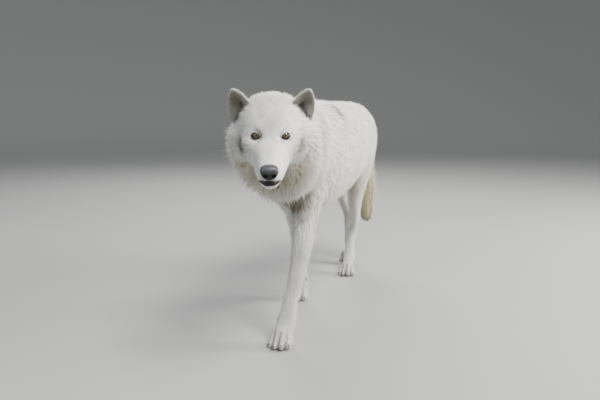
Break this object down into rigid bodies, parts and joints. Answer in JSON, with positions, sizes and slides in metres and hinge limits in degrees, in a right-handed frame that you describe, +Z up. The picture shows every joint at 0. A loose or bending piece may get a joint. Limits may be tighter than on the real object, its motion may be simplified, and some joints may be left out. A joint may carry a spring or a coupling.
{
  "type": "arctic wolf",
  "caption": "Life-size still model of a white arctic wolf walking, head low and turned a little to its left, tail hanging, for display on a floor.",
  "frame": {"origin": "bottom centre of the whole animal's box, on the floor it stands on", "axes": "+Z up, the wolf walks towards -Y and its left side is +X"},
  "size_m": [0.322, 1.532, 0.7592],
  "materials": {
    "white_coat": "long white winter coat, slightly creamy underneath",
    "tail_coat": "creamy tan brush",
    "ear_coat": "short fur, white behind and grey-brown inside",
    "eye": "wet amber eye with a dark pupil and rim",
    "nose_leather": "damp black pebbled skin",
    "claw_horn": "dark horn"
  },
  "bodies": {
    "root": {"head": "white_coat", "neck": "white_coat", "chest": "white_coat", "loin": "white_coat", "rump": "white_coat", "tail_root": "tail_coat", "tail_tip": "tail_coat", "left_fore_forearm": "white_coat", "left_fore_pastern": "white_coat", "left_fore_paw": "white_coat", "right_fore_forearm": "white_coat", "right_fore_pastern": "white_coat", "right_fore_paw": "white_coat", "left_hind_thigh": "white_coat", "left_hind_hock": "white_coat", "left_hind_paw": "white_coat", "right_hind_thigh": "white_coat", "right_hind_hock": "white_coat", "right_hind_paw": "white_coat", "left_ear": "ear_coat", "left_eye": "eye", "right_ear": "ear_coat", "right_eye": "eye", "nose": "nose_leather", "left_fore_claw_1": "claw_horn", "left_fore_claw_2": "claw_horn", "left_fore_claw_3": "claw_horn", "left_fore_claw_4": "claw_horn", "right_fore_claw_1": "claw_horn", "right_fore_claw_2": "claw_horn", "right_fore_claw_3": "claw_horn", "right_fore_claw_4": "claw_horn", "left_hind_claw_1": "claw_horn", "left_hind_claw_2": "claw_horn", "left_hind_claw_3": "claw_horn", "left_hind_claw_4": "claw_horn", "right_hind_claw_1": "claw_horn", "right_hind_claw_2": "claw_horn", "right_hind_claw_3": "claw_horn", "right_hind_claw_4": "claw_horn", "left_fore_dewclaw": "claw_horn", "right_fore_dewclaw": "claw_horn"}
  },
  "joints": []
}
